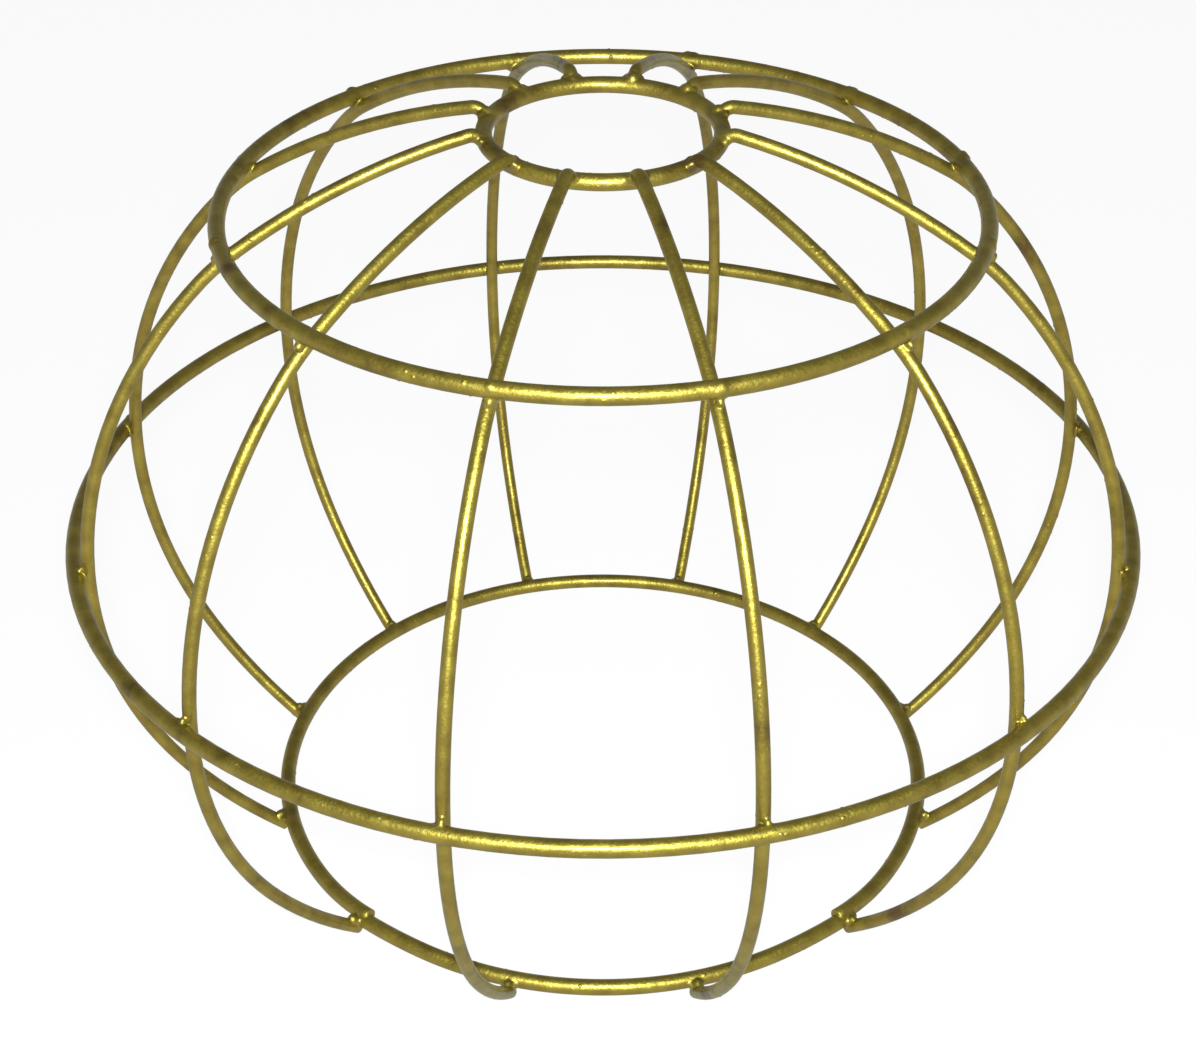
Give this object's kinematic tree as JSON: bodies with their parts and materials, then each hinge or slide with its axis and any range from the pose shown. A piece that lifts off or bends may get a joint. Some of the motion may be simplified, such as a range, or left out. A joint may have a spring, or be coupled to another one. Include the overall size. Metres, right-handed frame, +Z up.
{
  "type": "wire cage lamp shade",
  "caption": "Open rounded cage lamp shade of bent wire ribs welded to wire hoops, with a small top ring for a lamp holder and a wide open base.",
  "frame": {"origin": "centre of the base, level with the lowest points of the rib tails that the shade stands on", "axes": "+Z up along the axis of the shade, -Y towards the viewer, at the middle of a gap between two ribs"},
  "size_m": [0.2146, 0.2146, 0.1559],
  "materials": {
    "gold_paint": "satin metallic old-gold paint over steel wire"
  },
  "bodies": {
    "root": {"top_ring": "gold_paint", "upper_hoop": "gold_paint", "middle_hoop": "gold_paint", "bottom_ring": "gold_paint", "rib_01": "gold_paint", "rib_02": "gold_paint", "rib_03": "gold_paint", "rib_04": "gold_paint", "rib_05": "gold_paint", "rib_06": "gold_paint", "rib_07": "gold_paint", "rib_08": "gold_paint", "rib_09": "gold_paint", "rib_10": "gold_paint", "rib_11": "gold_paint", "rib_12": "gold_paint", "top_welds": "gold_paint", "upper_welds": "gold_paint", "middle_welds": "gold_paint", "bottom_welds": "gold_paint"}
  },
  "joints": []
}
